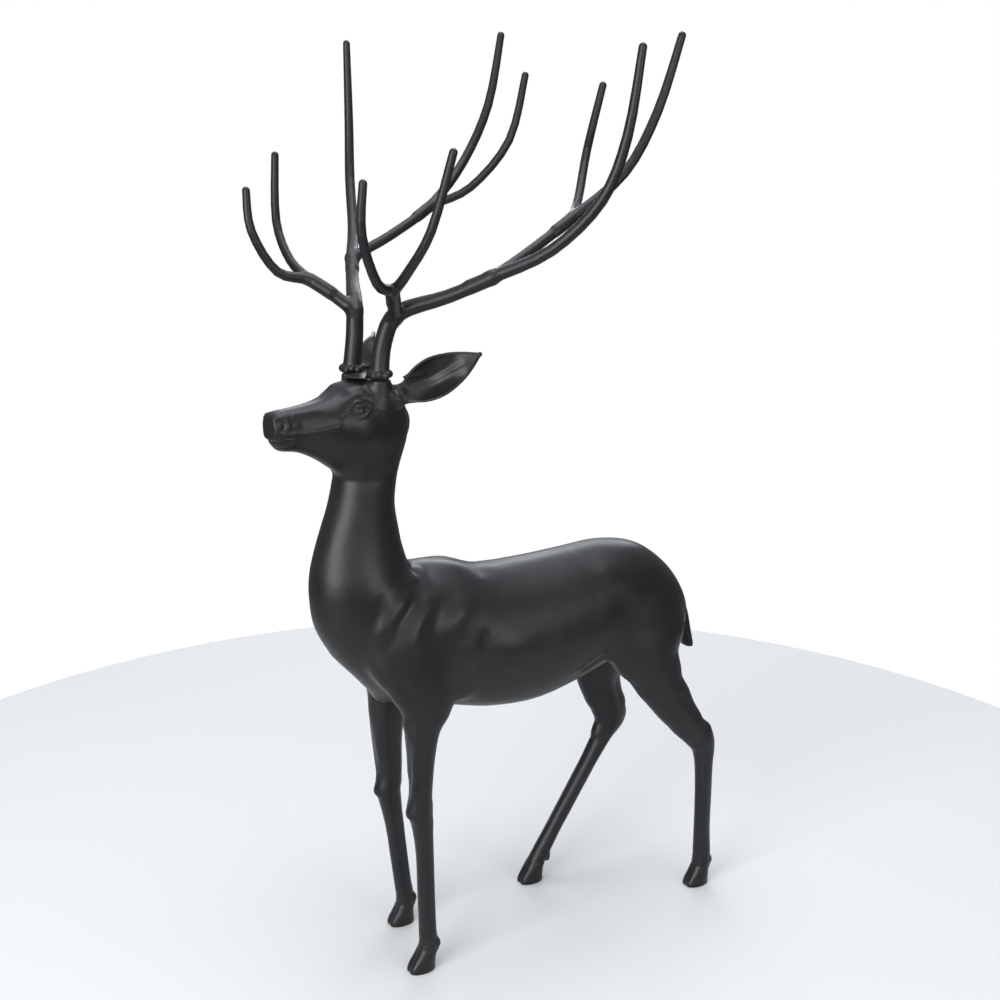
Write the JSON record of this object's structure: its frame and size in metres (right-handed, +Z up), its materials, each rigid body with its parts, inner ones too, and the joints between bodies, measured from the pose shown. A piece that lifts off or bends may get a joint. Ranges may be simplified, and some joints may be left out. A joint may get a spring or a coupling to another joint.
{
  "type": "deer sculpture",
  "caption": "Standing stag sculpture with a smooth black body on slim legs, head turned slightly, and wide branching rod-like antlers.",
  "frame": {"origin": "on the floor under the middle of the object's box", "axes": "+X the way the stag faces, +Y its left side, +Z up"},
  "size_m": [0.6004, 0.4968, 1.1104],
  "materials": {
    "black_satin_paint": "satin black paint over a cast surface"
  },
  "bodies": {
    "root": {"deer": "black_satin_paint", "left_antler": "black_satin_paint", "right_antler": "black_satin_paint"}
  },
  "joints": []
}
